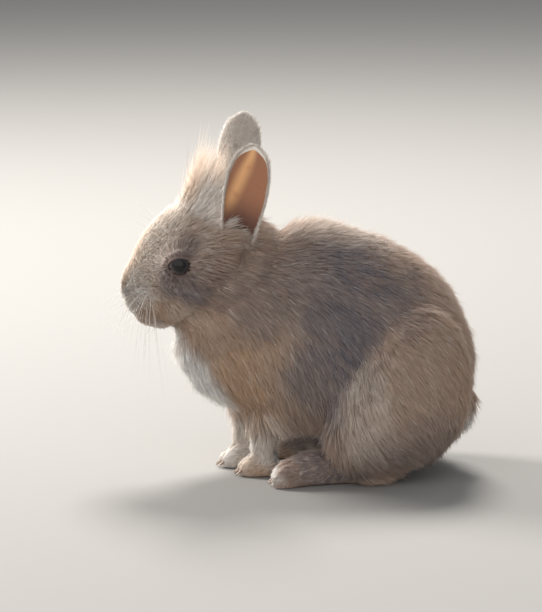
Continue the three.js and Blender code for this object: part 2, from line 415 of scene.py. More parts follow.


# ---- Coat markings, with painted light and shade

# On the left side: the paint and its strength, the patch's middle and its reach in millimetres, and how much
# of that reach its edge fades over.
# Some patches paint light or shade into the coat, as the comments beside them say.
MARKINGS = (
    # Trunk and thighs
    # Partly painted shade: the grey and umber of saddle, flank and neck base are darker hair and also painted
    # shade.
    ("grey", 0.9, (-24, 30, 106), (38, 32, 34), 0.5),
    ("grey", 1.0, (-12, 38, 70), (25, 24, 36), 0.45),
    ("umber", 0.7, (8, 26, 112), (20, 26, 26), 0.6),
    ("sand", 0.95, (33, 30, 56), (19, 26, 36), 0.5),
    ("umber", 0.65, (-2, 36, 50), (18, 20, 26), 0.5),
    # Partly painted shade: the umber low on the outer thighs is darker hair and also painted shade near the
    # floor.
    ("umber", 0.6, (-54, 50, 22), (32, 20, 20), 0.6),
    ("umber", 0.6, (-68, 46, 28), (24, 22, 18), 0.6),
    ("umber", 0.7, (-40, 50, 20), (24, 20, 15), 0.6),
    # Painted highlight: cream along the top of the back, where light falls from above.
    ("cream", 0.5, (-20, 0, 129), (54, 20, 14), 0.6),
    # Partly painted light: the cream on the thigh's bulge is paler hair and also painted light on its outward
    # bulge.
    ("cream", 0.6, (-30, 47, 46), (14, 16, 28), 0.6),
    ("sand", 0.35, (-82, 20, 66), (20, 44, 44), 0.6),
    # Head and neck
    # Partly painted shade: the umber behind the ear is darker hair and also painted shade of the head on the
    # neck.
    ("umber", 0.8, (26, 26, 100), (22, 22, 22), 0.5),
    ("cream", 1.2, (74, 0, 120), (34, 27, 36), 0.5),
    # Partly painted shade: the umber and grey on the cheek, under and round the eye are darker hair and also
    # painted shade.
    ("umber", 0.9, (52, 26, 106), (24, 13, 17), 0.5),
    ("grey", 0.8, (61, 25, 106), (13, 10, 10), 0.6),
    ("umber", 0.9, (62, 25, 114), (12, 11, 11), 0.5),
    ("sand", 0.4, (82, 0, 116), (22, 11, 26), 0.6),
    ("cream", 1.2, (48, 4, 150), (26, 22, 24), 0.4),
    ("sand", 0.45, (59, 22, 84), (22, 12, 11), 0.5),
    # Painted light: cream lightens the underside of the jaw, which faces down into shade.
    ("cream", 0.7, (59, 25, 86), (15, 12, 9), 0.5),
    # Painted light: white lightens the whisker pads, which face down and forward into shade.
    ("white", 0.75, (82, 12, 95), (10, 11, 9), 0.5),
    ("sand", 0.45, (79, 14, 90), (9, 9, 7), 0.5),
    ("sand", 0.55, (52, 0, 150), (10, 14, 16), 0.5),
    # Painted light: white lightens the crown beside the ear, where it lies in shade.
    ("white", 0.85, (43, 16, 138), (12, 11, 14), 0.5),
    # Partly painted light: the cream and white up the ears are pale hair and also painted light on their
    # backs.
    ("cream", 1.2, (30, 24, 160), (20, 16, 36), 0.3),
    ("white", 0.5, (30, 24, 160), (20, 16, 36), 0.3),
    # Underneath
    ("white", 1.2, (92, 0, 86), (11, 8, 8), 0.5),
    ("white", 1.6, (62, 0, 52), (30, 18, 35), 0.45),
    ("white", 1.3, (0, 0, 14), (70, 24, 18), 0.4),
    ("cream", 0.8, (34, 10, 12), (15, 16, 30), 0.5),
    ("sand", 0.45, (24, 20, 14), (13, 9, 18), 0.5),
    ("cream", 0.6, (18, 24, 28), (11, 12, 16), 0.5),
    ("white", 0.6, (46, 4, 12), (10, 12, 30), 0.4),
    # Painted shade: sand darkens the outer side of the forepaws.
    ("sand", 0.6, (22, 22, 3), (13, 10, 7), 0.5),
    # Partly painted shade: the grey low on the flank and over the hind feet is greyer hair and also painted
    # shade near the floor.
    ("grey", 0.75, (-10, 30, 10), (30, 18, 10), 0.5),
    ("white", 0.9, (17, 34, 5), (10, 16, 10), 0.4),
    ("white", 1.0, (-88, 0, 22), (12, 12, 14), 0.4),
)
PALE_HAIR = (1.0, 0.96, 0.9)
DARK_HAIR = (0.03, 0.02, 0.015)


def coat_colour(finish, place, tone):
    """The coat's colour at a place on the rabbit, with the painted light and shade of some markings. tone is
    how light a tuft is beside its neighbours.
    """
    coat = settings("coat")
    wander = finish.vectors("SUBTRACT", finish.noise(place, 42, 2, "Color"), (0.5, 0.5, 0.5))
    place = finish.vectors("MULTIPLY_ADD", wander, (0.03, 0.03, 0.03), place)
    x, y, z = (number * MM_PER_METRE for number in finish.split(place))
    folded = finish.node("ShaderNodeCombineXYZ", None, {0: x, 1: abs(y), 2: z})
    streaks = finish.noise(place, 260, 2).ramp(0.35, 0.65, 0.6, 1.15)
    colour = tuple(coat.fawn)
    for paint, strength, middle, reach, fade in MARKINGS:
        scaled = finish.vectors("DIVIDE", finish.vectors("SUBTRACT", folded, middle), reach)
        patch = finish.vectors("LENGTH", scaled, output="Value").ramp(1 - fade, 1 + 0.4 * fade, 1.0, 0.0)
        colour = finish.mix(colour, tuple(getattr(coat, paint)), patch * streaks * strength)
    colour = finish.mix(colour, PALE_HAIR, tone.ramp(0, 2.0, 0, 0.5))
    return finish.mix(colour, DARK_HAIR, tone.ramp(0, -1.6, 0, 0.5))


# ---- Ears

EAR_LENGTH = 64.0
EAR_WIDTH = 27.0

# Round the blade's outline, as an angle from 0 at its tip to pi at its root: the radius that it is rolled to
# in millimetres, and half its width as a share of the ear's.
EAR_ROLL = (0, 1.2, 2, 2.6, math.pi), (17, 14, 9, 6.2, 5)
EAR_OUTLINE = (
    (0, 0.25, 0.6, 1.05, 1.5, 2, 2.5, 2.9, math.pi),
    (0.02, 0.11, 0.29, 0.45, 0.5, 0.46, 0.38, 0.34, 0.3),
)


class Ear:
    """One ear's own directions: along its length, across its rolled blade, and out at the hollow's back."""

    def __init__(self, side, root, out, back):
        """side is 1 for left and -1 for right, root is in millimetres, and out is its angle outwards."""
        self.side, self.root = side, np.array(root, float)
        self.length = unit(np.array((-back, side * math.tan(out), 1.0)))
        hollow = np.array((0.1, side, 0.0))
        self.thick = -unit(hollow - hollow.dot(self.length) * self.length)
        self.width = np.cross(self.thick, self.length)

    def measure(self, points):
        """Where points in metres lie on the ear.

        That is how far along in millimetres, how far across from -1 at the rear rim to 1 at the front rim,
        and how far into the hollow in millimetres.
        """
        offset = points / MM - self.root
        along, across, outward = offset @ self.length, offset @ self.width, offset @ self.thick
        polar = np.arccos(np.clip(2 * along / EAR_LENGTH - 1, -1, 1))
        roll = np.interp(polar, *EAR_ROLL)
        half_width = EAR_WIDTH * np.interp(polar, *EAR_OUTLINE)
        turn = np.arctan2(-across, outward + roll)
        return along, self.side * turn * roll / half_width, roll - np.hypot(across, outward + roll)


EARS = {
    "left": Ear(1, (34, 14, 118), 0.36, 0.16),
    "right": Ear(-1, (33, -13, 123), 0.15, 0.09),
}


# ---- Skin

EYE_CENTRE = np.array((62.0, 18.9, 113.2))
EYE_RADIUS = 7.4
PARTS = [*sorted(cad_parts), "lid"]

# For the forepaw of each side, where it ends in front and how far out its middle is. All are in millimetres.
FORE_TOES = {1: (33.5, 10.0), -1: (42.0, 9.6)}
FORE_TOE_WIDTH = 3.2
HIND_TOE_WIDTH = 4.4
CLEFT_DEPTH = 1.5

# Where the muzzle is drawn in: lines of points on the left, their depth and their half width, in millimetres.
MUZZLE_LINES = (
    (((90.6, 1.2, 91.6), (90.2, 3.2, 93.4), (88.6, 5.2, 95.2), (86.6, 6.0, 94.2)), 1.5, 0.8),
    (((90.4, 0, 91.4), (89.0, 0, 88.0), (86.6, 0, 85.4)), 1.1, 0.7),
    (((86.6, 0, 85.2), (83.5, 4.5, 83.6), (77.5, 8.5, 83.2), (71.0, 11.5, 85.0)), 1.0, 0.9),
)


def toe_clefts():
    """The lines between the toes of all four feet, in millimetres."""
    lines = []
    for side, (front, middle) in FORE_TOES.items():
        for step in (-1, 0, 1):
            y = 33.0 + HIND_TOE_WIDTH * step
            hind = ((19, y + 0.4 * step, 1), (17.5, y + 0.4 * step, 5), (13, y, 12), (4, y - 0.5, 14))
            y = middle + FORE_TOE_WIDTH * step
            fore = ((front + 1, y, 1), (front - 0.5, y, 5), (front - 4, y, 12), (front - 10, y, 14))
            lines += [np.array(line) * (1, side, 1) for line in (hind, fore)]
    return lines


def nearest_solid(points):
    """The name of the CAD node nearest to each point."""
    names, places, faces, owners = sorted(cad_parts), [], [], []
    start = 0
    for k, name in enumerate(names):
        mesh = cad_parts[name].data
        places.append(points_of(mesh))
        faces.append(triangles_of(mesh) + start)
        owners += [k] * len(faces[-1])
        start += len(places[-1])
    tree = BVHTree.FromPolygons(np.concatenate(places).tolist(), np.concatenate(faces).tolist())
    return np.array(names)[[owners[tree.find_nearest(p)[2]] for p in points.tolist()]]


def is_part(labels, *starts):
    """Which labels begin with one of these words."""
    return np.array([label.startswith(starts) for label in labels])


def solid_body():
    """The rabbit without its ears as one closed mesh, out to the coat's tips but without the crown's tuft."""
    copies = [copy_of_solid(name) for name in sorted(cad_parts) if not name.startswith("ear_")]
    for copy in copies:
        modify(copy, "DISPLACE", strength=0.0004, mid_level=0.0)
    body = joined(copies, "skin")
    modify(body, "REMESH", mode="VOXEL", voxel_size=settings("skin").grain)
    points = points_of(body.data)
    x, y, z = points.T / MM
    # The crown is an arch along the head and round across it. The tuft is what stands over it.
    crown = 107 + (41 - (x - 44) ** 2 / 62) * np.sqrt(np.clip(1 - (y / 28) ** 2, 0, 1))
    tuft = (np.hypot(x - 50.5, y) < 17) & (z > crown)
    points[tuft, 2] = crown[tuft] * MM
    move_points(body.data, points)
    return body


# How deep the coat is, as a share of the depth that the settings give.
BODY_SHARES = {"thigh": 0.88, "neck": 0.92, "tail": 0.55}
LEG_SHARES = (8, 30), (1.2, 2.2)  # at these heights in millimetres
HEAD_SHARES = (28, 42, 56, 70, 82, 92), (1.75, 1.3, 1.0, 0.75, 0.5, 0.4)  # from nape to nose
EYE_DEPTH = 0.0021
EAR_COAT_DEPTH = 0.0016


def coat_depth(points, triangles, labels, around):
    """How deep the coat is at each point, in metres."""
    skin = settings("skin")
    x, _, z = points.T / MM
    head, leg = is_part(labels, "head", "lid"), is_part(labels, "foreleg")
    depth = np.full(len(points), skin.body_depth)
    for part, share in BODY_SHARES.items():
        depth[is_part(labels, part)] *= share
    depth[leg] = skin.foot_depth * np.interp(z[leg], *LEG_SHARES)
    depth[is_part(labels, "forepaw", "hind_foot")] = skin.foot_depth
    depth[head] = skin.head_depth * np.interp(x[head], *HEAD_SHARES)
    depth[is_part(labels, "eye")] = EYE_DEPTH
    depth[is_part(labels, "ear")] = EAR_COAT_DEPTH
    sole = ramp(z, 5, 1.5) * ramp(normals_of(points, triangles)[:, 2], -0.2, -0.7)
    return around.averaged(depth * (1 - 0.9 * sole), 14)


def sink_under_coat(body):
    """Smooths the body and draws it in by the depth of the coat."""
    mesh = body.data
    around = Neighbours(mesh)
    triangles = triangles_of(mesh)
    points = points_of(mesh)
    labels = nearest_solid(points)
    depth = coat_depth(points, triangles, labels, around)
    share = np.where(is_part(labels, "head", "eye"), 0.3, 0.5)
    share[is_part(labels, "forepaw", "hind_foot")] = 0.12
    points = around.averaged(points, 9, around.averaged(share, 6))
    # The seam where the thigh meets the flank and the back.
    thigh = around.averaged(is_part(labels, "thigh").astype(float), 10)
    seam = 4 * thigh * (1 - thigh) * ramp(points[:, 2] / MM, 40, 65)
    points = around.averaged(points, 24, 0.6 * seam)
    steps = 5
    for _ in range(steps):
        points -= normals_of(points, triangles) * (depth / steps)[:, None]
        points = around.averaged(points, 1, 0.2)
    # The hollow between the tail and the thighs, where the skin would fold.
    under_tail = ramp(np.linalg.norm(points / MM - (-77, 0, 17.5), axis=1), 10, 6)
    points = around.averaged(points, 80, 0.8 * under_tail)
    move_points(mesh, points)


def ear_blade(name):
    """An ear's blade without its coat, with its root drawn down and in to the head."""
    ear = EARS[name]
    piece = copy_of_solid("ear_" + name)
    points = points_of(piece.data)
    points -= normals_of(points, triangles_of(piece.data)) * settings("skin").ear_depth
    along = ear.measure(points)[0]
    sideways = (points / MM - ear.root) @ ear.width
    points -= ear.width * (0.5 * MM * sideways * ramp(along, 13, 0))[:, None]
    points -= ear.length * (10 * MM * ramp(along, 26, 8))[:, None]
    points[:, 1] -= ear.side * 8 * MM * ramp(along, 12, 0)
    move_points(piece.data, points)
    modify(piece, "SUBSURF", levels=2, render_levels=2)
    return piece


def snapped(tree, line):
    """A line in millimetres as the points of a surface nearest to it, in metres."""
    return [np.array(tree.find_nearest(np.array(p) * MM)[0]) for p in line]


def distance_to_line(points, line):
    """How far each point is from a chain of straight lines."""
    best = np.full(len(points), np.inf)
    for start, end in zip(line[:-1], line[1:]):
        step = end - start
        t = np.clip((points - start) @ step / max(step @ step, 1e-12), 0, 1)
        best = np.minimum(best, np.linalg.norm(points - start - t[:, None] * step, axis=1))
    return best


def to_be_carved(x, y, z):
    """Whether a place in metres is on the muzzle or the toes."""
    x, out, z = x / MM, abs(y) / MM, z / MM
    muzzle = x > 69 and out < 14 and 78 < z < 99
    hind_toes = x > -2 and 24 < out < 44 and z < 16
    fore_toes = x > 22 and out < 20 and z < 14
    return muzzle or hind_toes or fore_toes


def carve(body):
    """Draws in the nostrils, the parting of the lip, the mouth and the clefts between the toes.

    It gives back how bare each point is.
    """
    start_edit(body, to_be_carved)
    bpy.ops.mesh.subdivide(number_cuts=1, smoothness=0.6)
    end_edit()
    points, triangles = points_of(body.data), triangles_of(body.data)
    tree = BVHTree.FromPolygons(points.tolist(), triangles.tolist())
    inward = np.zeros(len(points))
    for line, depth, width in MUZZLE_LINES:
        for side in (1, -1):
            away = distance_to_line(points, snapped(tree, np.array(line) * (1, side, 1)))
            inward = np.maximum(inward, depth * np.exp(-((away / MM / width) ** 2)))
    bare = np.clip(inward * 1.6, 0, 1)
    for line in toe_clefts():
        away = distance_to_line(points, snapped(tree, line))
        inward = np.maximum(inward, CLEFT_DEPTH * np.exp(-((away / MM) ** 2)))
    points -= normals_of(points, triangles) * (inward * MM)[:, None]
    points[:, 2] = np.maximum(points[:, 2], 0.3 * MM)
    move_points(body.data, points)
    return bare


def eye_axes(side):
    """The eye's centre in metres, and unit vectors out of it, forward along its corners and up."""
    outward = unit(np.array((0.07, side, 0.11)))
    forward = np.array((1.0, 0.0, -0.1))
    forward = unit(forward - forward.dot(outward) * outward)
    return EYE_CENTRE * (1, side, 1) * MM, outward, forward, side * np.cross(forward, outward)


# The section of the lids, from the edge of the opening outwards: how far from it and how high over the
# eyeball, in millimetres, and how bare.
LID_SECTION = (
    (0, 0.05, 1), (0.1, 0.4, 1), (0.5, 0.62, 0.5), (1.2, 0.6, 0),
    (2.2, 0.3, 0), (3.4, -0.4, 0), (4.6, -1.4, 0), (6.0, -3.0, 0),
)


def lids(side):
    """Both lids of one eye as one ring that rises from the skin, with a rounded edge against the eyeball."""
    eye = settings("eye")
    centre, outward, forward, up = eye_axes(side)
    count = 48
    turn = np.linspace(0, 2 * math.pi, count, endpoint=False)
    rise = np.sign(np.sin(turn)) * np.abs(np.sin(turn)) ** 1.15
    high = np.where(np.sin(turn) > 0, eye.upper, eye.lower) * rise
    wide = eye.width / 2 * np.cos(turn)
    radius = EYE_RADIUS * MM
    edge = np.arcsin(np.hypot(wide, high) / radius)
    bearing = np.arctan2(high, wide)
    spread = np.cos(bearing)[:, None] * forward + np.sin(bearing)[:, None] * up
    rings = []
    for reach, over, _ in LID_SECTION:
        polar = edge + reach * MM / radius
        direction = np.sin(polar)[:, None] * spread + np.cos(polar)[:, None] * outward
        rings.append(centre + direction * (radius + over * MM))
    here = np.arange(count)
    after = (here + 1) % count
    starts = range(0, count * (len(rings) - 1), count)
    faces = [np.stack([s + here, s + after, s + count + after, s + count + here], 1) for s in starts]
    faces = np.concatenate(faces)
    mesh = mesh_of("lids", np.concatenate(rings), faces[:, ::-1] if side < 0 else faces)
    store(mesh, "bare", np.repeat([bare for _, _, bare in LID_SECTION], count))
    return object_of(mesh)


# The lie of the coat on the left side: a place in millimetres and the way that its hair points.
LIE = (
    ((92, 0, 102), (-0.5, 0, 1)), ((88, 6, 108), (-0.8, 0.1, 0.8)), ((86, 9, 95), (-1, 0.2, -0.5)),
    ((79, 14, 94), (-0.8, 0.1, -0.9)), ((84, 0, 84), (-0.5, 0, -1)), ((76, 0, 77), (-1, 0, -0.5)),
    ((76, 0, 133), (-0.9, 0, 0.6)), ((74, 14, 116), (-1, 0.3, 0.35)), ((66, 17, 128), (-1, 0.1, 0.6)),
    ((63, 24, 103), (-1, 0.1, -0.45)), ((72, 18, 98), (-1, 0.2, -0.5)), ((50, 28, 100), (-1, 0, -0.5)),
    ((60, 20, 82), (-0.9, 0, -0.8)), ((45, 25, 122), (-1, 0.1, -0.05)), ((51, 0, 146), (-0.3, 0, 1)),
    ((36, 0, 146), (-1, 0, 0.3)), ((22, 0, 134), (-1, 0, -0.2)), ((16, 20, 120), (-1, 0.1, -0.4)),
    ((66, 0, 68), (-0.4, 0, -1)), ((58, 18, 68), (-0.7, 0.1, -0.9)), ((50, 0, 44), (-0.6, 0, -1)),
    ((38, 28, 88), (-0.85, 0, -0.7)), ((22, 33, 80), (-0.6, 0, -1)), ((24, 28, 48), (-0.35, 0, -1)),
    ((8, 15, 130), (-1, 0.1, -0.15)), ((-30, 0, 131), (-1, 0, -0.1)), ((-60, 0, 115), (-1, 0, -0.6)),
    ((-20, 33, 102), (-1, 0, -0.75)), ((-8, 38, 72), (-0.6, 0, -1)), ((-5, 34, 36), (-0.3, 0, -1)),
    ((-50, 35, 98), (-1, 0, -0.85)), ((-80, 0, 88), (-0.5, 0, -1)), ((-91, 0, 60), (-0.05, 0, -1)),
    ((-86, 0, 34), (0.1, 0, -1)), ((0, 0, 25), (-1, 0, -0.1)), ((40, 0, 38), (-0.9, 0, -0.6)),
    ((-60, 42, 88), (-0.8, 0, -1)), ((-50, 50, 52), (-0.7, 0, -1)), ((-22, 42, 38), (-0.6, 0, -1)),
    ((-45, 48, 14), (-0.9, 0, -0.45)), ((-85, 36, 50), (-0.15, 0, -1)), ((-74, 38, 22), (-0.35, 0, -1)),
)


LIE_REACH = 15.0
LIE_OF_PARTS = {
    "foreleg": (0, 0, -1), "forepaw": (1, 0, -0.45), "hind_foot": (1, 0, -0.25), "tail": (-0.3, 0, 1),
}


def lie_of_coat(points, normals, labels, around):
    """The way that the hair points at each point of the skin, along the surface."""
    x, y, z = (points / MM).T
    folded = np.stack([x, np.abs(y), z], 1)
    total = np.zeros_like(points)
    for place, way in LIE:
        weight = np.exp(-((folded - place) ** 2).sum(1) / (2 * LIE_REACH**2)) + 1e-9
        total += weight[:, None] * unit(np.array(way, float))
    total[:, 1] *= np.sign(y)
    for part, way in LIE_OF_PARTS.items():
        total[is_part(labels, part)] = way
    total = around.averaged(unit(total), 8)
    # On an ear it runs to the tip, and out over the rims.
    for name, ear in EARS.items():
        own = labels == "ear_" + name
        across = ear.measure(points[own])[1]
        rim = np.sign(across) * ramp(np.abs(across), 0.75, 1.0) * 0.5
        total[own] = ear.length - ear.side * ear.width * rim[:, None]
    # Round an eye it runs away from it.
    for side in (1, -1):
        centre, outward = eye_axes(side)[:2]
        offset = points - centre
        near = ramp(np.linalg.norm(offset, axis=1) / MM, 13.5, 9.5)[:, None]
        away = unit(offset - (offset @ outward)[:, None] * outward)
        total = total * (1 - 0.75 * near) + 0.75 * near * away
    return unit(total - (total * normals).sum(1)[:, None] * normals)


EAR_BASE = 6  # millimetres of an ear that count as the head


def ear_places(points, normals, labels):
    """For each point: how far it is inside an ear's hollow, how far across the ear, and how high on it."""
    places = np.zeros((len(points), 3))
    for name, ear in EARS.items():
        own = labels == "ear_" + name
        along, across, into = ear.measure(points[own])
        faces_in = ramp(-(normals[own] @ ear.thick), -0.1, 0.35) * ramp(into, -0.3, 0.3)
        places[own] = np.stack([faces_in * ramp(along, 4, 14), across, along / EAR_LENGTH], 1)
    return places


class RABBIT_OT_skin(bpy.types.Operator):
    """Make one skin under the coat from all the solids of flesh, with lids, nostrils and mouth"""

    bl_idname = "rabbit.skin"
    bl_label = "Skin"

    def execute(self, context):
        body = solid_body()
        sink_under_coat(body)
        for name in EARS:
            blade = ear_blade(name)
            modify(body, "BOOLEAN", operation="UNION", object=blade, solver="MANIFOLD")
            bpy.data.objects.remove(blade)
        store(body.data, "bare", carve(body))
        lid_rings = [lids(1), lids(-1)]
        lid_count = sum(len(ring.data.vertices) for ring in lid_rings)
        body = joined([body, *lid_rings], "skin")
        mesh = body.data
        points, triangles = points_of(mesh), triangles_of(mesh)
        around = Neighbours(mesh)
        normals = normals_of(points, triangles)
        labels = nearest_solid(points)
        labels[-lid_count:] = "lid"
        for name, ear in EARS.items():
            labels[(labels == "ear_" + name) & (ear.measure(points)[0] < EAR_BASE)] = "head"
        store(mesh, "ear", ear_places(points, normals, labels))
        labels[is_part(labels, "eye")] = "head"
        store(mesh, "coat_at", points)
        store(mesh, "lie", lie_of_coat(points, normals, labels, around))
        store(mesh, "depth", coat_depth(points, triangles, labels, around))
        store(mesh, "part", np.array([PARTS.index(label) for label in labels], float))
        lay_flat(body, 0.002)
        mesh.uv_layers[0].name = "OFBake"
        bpy.ops.object.shade_smooth()
        mesh.materials.clear()
        mesh.materials.append(skin_finish())
        settle(body, "sandy_coat", *(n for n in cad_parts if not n.startswith("eye_")))
        return {"FINISHED"}


EAR_GLOW = (0.98, 0.56, 0.27)
EAR_DEPTH_SHADE = (0.13, 0.07, 0.06)
EAR_RIM_PALE_AND_LIT = (0.92, 0.86, 0.78)
EAR_VEINS = (0.42, 0.13, 0.08)


def skin_finish():
    """Undercoat with painted shade on the body, warm thin skin inside the ears with painted glow and shade,
    and dark skin at nostrils, mouth and lids.
    """
    skin = settings("skin")
    finish = Finish("skin", Roughness=0.8)
    place = finish.kept("coat_at")
    fine = finish.noise(place, 900, 3)
    undercoat_and_shade = coat_colour(finish, place, fine.ramp(0.2, 0.8, -0.8, 0.2))
    # The skin is darker than the coat: partly its own darker hair bases and partly painted shade under the
    # coat.
    undercoat_and_shade = finish.mix(undercoat_and_shade, (0.0, 0.0, 0.0), 0.3)
    inner, across, height = finish.split(finish.kept("ear"))
    # A painted glow, light shining through the thin ear, slants up the hollow from the front rim, over the
    # painted shade of its depths.
    glow = abs(across - 0.1 - (0.9 - height) * 1.2).ramp(0.0, 0.5, 1.0, 0.0) * height.ramp(0.3, 0.5)
    inside = finish.mix(tuple(skin.inner_ear), EAR_GLOW, glow * 0.85)
    inside = finish.mix(inside, EAR_DEPTH_SHADE, height.ramp(0.6, 0.26) * 0.85)
    # Partly painted rim light: the hollow's rims are paler skin and also painted light along the edge.
    near_tip = height.ramp(0.82, 0.99)
    to_rim = (across * across + near_tip * near_tip) ** 0.5
    inside = finish.mix(inside, EAR_RIM_PALE_AND_LIT, to_rim.ramp(0.86, 0.94))
    veins = finish.noise(place, 160, 4).ramp(0.55, 0.72)
    inside = finish.mix(inside, EAR_VEINS, veins * 0.25)
    colour = finish.mix(undercoat_and_shade, inside, inner)
    colour = finish.mix(colour, tuple(skin.bare), finish.kept("bare", "Fac"))
    finish.set(Base_Color=colour, Specular_IOR_Level=0.3, Normal=finish.bump(fine, 0.35, 0.0004))
    return finish.material


# ---- Eyes

CORNEA_RISE = 0.0007
CORNEA_REACH = 0.0058


class RABBIT_OT_eyes(bpy.types.Operator):
    """Make both eyeballs, each with its cornea standing a little out of it"""

    bl_idname = "rabbit.eyes"
    bl_label = "Eyes"

    def execute(self, context):
        eye = settings("eye")
        finish = eye_finish()
        radius = EYE_RADIUS * MM
        for name, side in (("left", 1), ("right", -1)):
            centre, outward, _, up = eye_axes(side)
            bpy.ops.object.select_all(action="DESELECT")
            bpy.ops.mesh.primitive_uv_sphere_add(segments=48, ring_count=32, radius=radius)
            piece = bpy.context.object
            piece.name = piece.data.name = "eyeball_" + name
            # Past the opening, the eyeball is drawn in under the lids.
            start_edit(piece)
            for vertex in bmesh.from_edit_mesh(piece.data).verts:
                wide, high, out = vertex.co
                opening = eye.upper if high > 0 else eye.lower
                past_edge = math.hypot(2 * wide / eye.width, high / opening) if out > 0 else math.inf
                vertex.co *= 1 - 0.3 * float(ramp(past_edge, 1.1, 2.6))
            end_edit()
            pull(piece, lambda x, y, z: z > 0.9999 * radius, (0, 0, CORNEA_RISE), CORNEA_REACH, "SPHERE")
            bpy.ops.object.shade_smooth()
            piece.matrix_world = Matrix.Translation(centre) @ turned_to(outward, up).to_4x4()
            piece.data.materials.append(finish)
            settle(piece, "eye", "eye_" + name)
        return {"FINISHED"}


PUPIL = (0.004, 0.0035, 0.004)
IRIS_SPOKES = (0.040, 0.026, 0.018)
IRIS_RIM = (0.012, 0.008, 0.007)


def eye_finish():
    """Dark wet eye: a black pupil in an iris with fine brown spokes and a darker rim."""
    finish = Finish("wet_eye", Roughness=0.2, Coat_Weight=0.2, Coat_Roughness=0.08, Specular_IOR_Level=0.3)
    place = finish.on_object()
    centre, outward = eye_axes(1)[:2]
    pole = centre + outward * EYE_RADIUS * MM
    folded = finish.vectors("ABSOLUTE", place)
    away = finish.vectors("DISTANCE", folded, tuple(pole), output="Value") * MM_PER_METRE
    spokes = finish.noise(place, 900, 2) * away.ramp(3.0, 4.2) * 0.8
    colour = finish.mix(tuple(settings("eye").iris), IRIS_SPOKES, spokes)
    colour = finish.mix(PUPIL, colour, away.ramp(2.9, 3.5))
    finish.set(Base_Color=finish.mix(colour, IRIS_RIM, away.ramp(5.0, 6.2)))
    return finish.material


# ---- Claws

CLAW_ROOT_RADIUS = 0.0009
CLAW_TIP_RADIUS = 0.0002
CLAW_HOOK = 0.0011  # how far the tip bends down


def claw_spots(side):
    """For both feet of a side, a name, and each claw's place in millimetres and how far out it points."""
    front, middle = FORE_TOES[side]
    steps = (-1.5, -0.5, 0.5, 1.5)
    fore = [(front + 0.4 - 0.5 * s * s, middle + s * FORE_TOE_WIDTH, 2.6, 0.05 * s) for s in steps]
    hind = [(17.2 - 0.6 * s * s, 33.2 + s * HIND_TOE_WIDTH, 2.8, 0.06 + 0.03 * s) for s in steps]
    return ("fore_claws_", fore), ("hind_claws_", hind)


class RABBIT_OT_claws(bpy.types.Operator):
    """Make the claws of all four feet from one claw"""

    bl_idname = "rabbit.claws"
    bl_label = "Claws"

    def execute(self, context):
        length = settings("claw").length
        bpy.ops.object.select_all(action="DESELECT")
        bpy.ops.mesh.primitive_cone_add(
            vertices=10,
            radius1=CLAW_ROOT_RADIUS,
            radius2=CLAW_TIP_RADIUS,
            depth=length,
            location=(0, 0, length / 2),
        )
        claw = bpy.context.object
        bpy.ops.object.transform_apply(location=True, rotation=True, scale=True)
        start_edit(claw)
        bpy.ops.mesh.subdivide(number_cuts=2)
        end_edit()
        pull(claw, lambda x, y, z: z > 0.98 * length, (0, -CLAW_HOOK, 0), length, "SMOOTH")
        modify(claw, "SUBSURF", levels=1, render_levels=1)
        bpy.ops.object.shade_smooth()
        claw.data.materials.append(claw_finish())
        for side, hand in ((1, "left"), (-1, "right")):
            for foot, spots in claw_spots(side):
                copies = []
                for x, y, z, outwards in spots:
                    axis = Vector((1.0, side * outwards, -0.42)).normalized()
                    mesh = claw.data.copy()
                    root = Vector((x, side * y, z)) * MM - axis * 0.62 * length
                    mesh.transform(Matrix.Translation(root) @ turned_to(axis).to_4x4())
                    copies.append(object_of(mesh))
                settle(joined(copies, foot + hand), "ear_skin")
        bpy.data.objects.remove(claw)
        return {"FINISHED"}


def claw_finish():
    """Brown horn with paler streaks."""
    finish = Finish("horn", Roughness=0.35, Coat_Weight=0.2)
    streaks = finish.noise(finish.on_object(), 700, 3)
    finish.set(Base_Color=finish.mix(tuple(settings("claw").horn), (0.50, 0.38, 0.28), streaks * 0.6))
    finish.set(Normal=finish.bump(streaks, 0.2, 0.0001))
    return finish.material


# ---- Whiskers


def tapered_tubes(lines, thickness, sides=5):
    """Closed tubes along many lines at once, shape (tubes, steps, 3), thinning to a point."""
    count, steps, _ = lines.shape
    along = unit(np.gradient(lines, axis=1))
    across = unit(np.cross(along, (0.31, 0.17, 0.93)))
    third = np.cross(along, across)
    taper = (1 - np.linspace(0, 1, steps)) ** 0.7
    taper[-1] = 0.06
    radius = (thickness / 2)[:, None] * taper
    turn = np.linspace(0, 2 * math.pi, sides, endpoint=False)
    ring = np.cos(turn)[:, None] * across[:, :, None] + np.sin(turn)[:, None] * third[:, :, None]
    points = lines[:, :, None] + ring * radius[:, :, None, None]
    k, j = np.arange(sides), (np.arange(sides) + 1) % sides
    starts = range(0, sides * (steps - 1), sides)
    bands = [np.stack([s + k, s + j, s + sides + j], 1) for s in starts]
    bands += [np.stack([s + k, s + sides + j, s + sides + k], 1) for s in starts]
    fan = np.stack([np.zeros(sides - 2, int), k[1:-1], k[2:]], 1)
    faces = np.concatenate([*bands, fan[:, ::-1], fan + (steps - 1) * sides])
    faces = faces[None] + (np.arange(count) * steps * sides)[:, None, None]
    return points.reshape(-1, 3), faces.reshape(-1, 3)


def whisker_plan(longest, rng):
    """The root in millimetres, the way and the length of each whisker on the left side."""
    plan = []
    for row in range(4):
        for column in range(5):
            root = (86.5 - 2.5 * column - 0.4 * row, 10.5 + 0.9 * column, 97.5 - 2.6 * row)
            way = (1.0 - 0.22 * column - 0.1 * row, 0.5, -0.2 - 0.28 * row - 0.12 * column)
            plan.append((root, way, longest * (0.52 + 0.10 * column) * rng.uniform(0.75, 1.1)))
    for root, up in (((69, 15, 124), 1.0), ((66, 16, 127), 0.7), ((71, 14, 121), 0.5)):
        plan.append((root, (0.75, 0.35, up), longest * rng.uniform(0.55, 0.75)))
    for x, y in ((80, 2), (77, 4), (74, 2.5)):
        plan.append(((x, y, 78), (0.6, 0.3, -1), longest * 0.3))
    return plan


